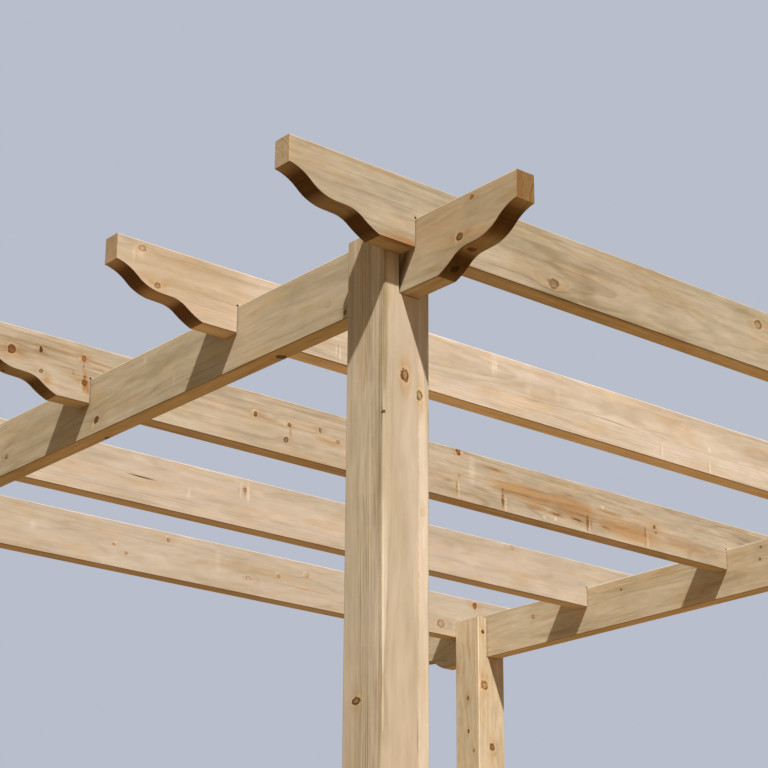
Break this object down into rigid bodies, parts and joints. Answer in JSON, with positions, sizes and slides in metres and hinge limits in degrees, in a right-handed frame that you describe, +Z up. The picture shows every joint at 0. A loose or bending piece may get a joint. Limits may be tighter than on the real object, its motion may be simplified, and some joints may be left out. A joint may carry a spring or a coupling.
{
  "type": "wooden pergola",
  "caption": "Free-standing open garden pergola: square posts with slotted heads carry beams, and notched rafters with double-wave ends lie across.",
  "frame": {"origin": "middle of the footprint on the ground, level with the feet of the posts", "axes": "+X along the rafters, +Y along the beams, +Z up"},
  "size_m": [2.4, 2.465, 2.477],
  "materials": {
    "planed_softwood": "planed, pressure-treated pine with knots, not painted"
  },
  "bodies": {
    "root": {"post_front_left": "planed_softwood", "post_front_right": "planed_softwood", "post_back_left": "planed_softwood", "post_back_right": "planed_softwood", "beam_left": "planed_softwood", "beam_right": "planed_softwood", "rafter_1": "planed_softwood", "rafter_2": "planed_softwood", "rafter_3": "planed_softwood", "rafter_4": "planed_softwood", "rafter_5": "planed_softwood"}
  },
  "joints": []
}
